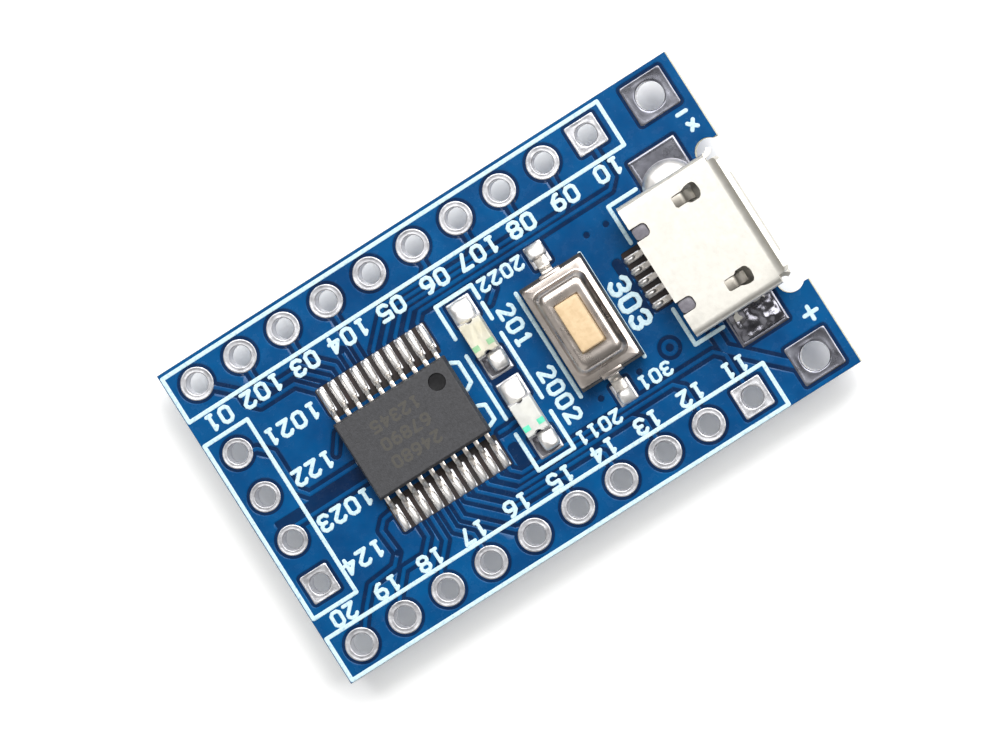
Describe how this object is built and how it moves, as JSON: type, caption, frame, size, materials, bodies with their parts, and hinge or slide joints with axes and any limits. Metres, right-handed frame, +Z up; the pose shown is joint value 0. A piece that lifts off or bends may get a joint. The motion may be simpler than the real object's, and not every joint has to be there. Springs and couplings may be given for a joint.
{
  "type": "microcontroller development board",
  "caption": "Small flat blue controller board with a USB socket, push button, indicator lamps and plated rows of header holes.",
  "frame": {"origin": "on the surface the board rests on, under the middle of its bounding box", "axes": "+X along the board towards the USB socket, +Y across it towards header row 1, +Z up, away from the underside parts"},
  "size_m": [0.0298, 0.018, 0.0061],
  "materials": {
    "solder_mask": "glossy blue solder mask over glass-epoxy laminate",
    "epoxy": "moulded dark grey epoxy, slightly rough",
    "tinned_metal": "tin plate and solder, bright and slightly uneven",
    "shell_steel": "satin nickel-plated sheet steel, warm white",
    "cover_steel": "polished stainless sheet",
    "spring_steel": "thin spring sheet",
    "black_plastic": "black moulded nylon",
    "actuator_plastic": "cream moulded plastic",
    "led_laminate": "white laminate",
    "led_resin": "clear, pale yellow moulded resin",
    "ceramic": "tan ceramic with tinned end caps",
    "resistor_glaze": "black glaze with tinned end caps"
  },
  "bodies": {
    "board": {"circuit_board": "solder_mask", "controller_body": "epoxy", "controller_lead_01": "tinned_metal", "controller_lead_02": "tinned_metal", "controller_lead_03": "tinned_metal", "controller_lead_04": "tinned_metal", "controller_lead_05": "tinned_metal", "controller_lead_06": "tinned_metal", "controller_lead_07": "tinned_metal", "controller_lead_08": "tinned_metal", "controller_lead_09": "tinned_metal", "controller_lead_10": "tinned_metal", "controller_lead_11": "tinned_metal", "controller_lead_12": "tinned_metal", "controller_lead_13": "tinned_metal", "controller_lead_14": "tinned_metal", "controller_lead_15": "tinned_metal", "controller_lead_16": "tinned_metal", "controller_lead_17": "tinned_metal", "controller_lead_18": "tinned_metal", "controller_lead_19": "tinned_metal", "controller_lead_20": "tinned_metal", "usb_shell": "shell_steel", "usb_insulator": "black_plastic", "usb_contact_1": "tinned_metal", "usb_contact_2": "tinned_metal", "usb_contact_3": "tinned_metal", "usb_contact_4": "tinned_metal", "usb_contact_5": "tinned_metal", "button_base": "black_plastic", "button_cover": "cover_steel", "button_dome": "spring_steel", "button_terminal_1": "tinned_metal", "button_terminal_2": "tinned_metal", "power_led_base": "led_laminate", "power_led_lens": "led_resin", "power_led_terminal_1": "tinned_metal", "power_led_terminal_2": "tinned_metal", "test_led_base": "led_laminate", "test_led_lens": "led_resin", "test_led_terminal_1": "tinned_metal", "test_led_terminal_2": "tinned_metal", "regulator_body": "epoxy", "regulator_tab": "tinned_metal", "regulator_lead_1": "tinned_metal", "regulator_lead_2": "tinned_metal", "regulator_lead_3": "tinned_metal", "input_capacitor": "ceramic", "input_bypass_capacitor": "ceramic", "output_capacitor": "ceramic", "output_bypass_capacitor": "ceramic", "core_capacitor": "ceramic", "reset_capacitor": "ceramic", "reset_resistor": "resistor_glaze", "power_led_resistor": "resistor_glaze", "test_led_resistor": "resistor_glaze"},
    "button": {"button_actuator": "actuator_plastic"}
  },
  "joints": [
    {"name": "button_press", "type": "slide", "parent": "board", "child": "button", "axis": [0, 0, -1], "range_m": [0, 0.00025], "stiffness_N_per_m": 6000, "deforming": ["button_dome"]}
  ]
}
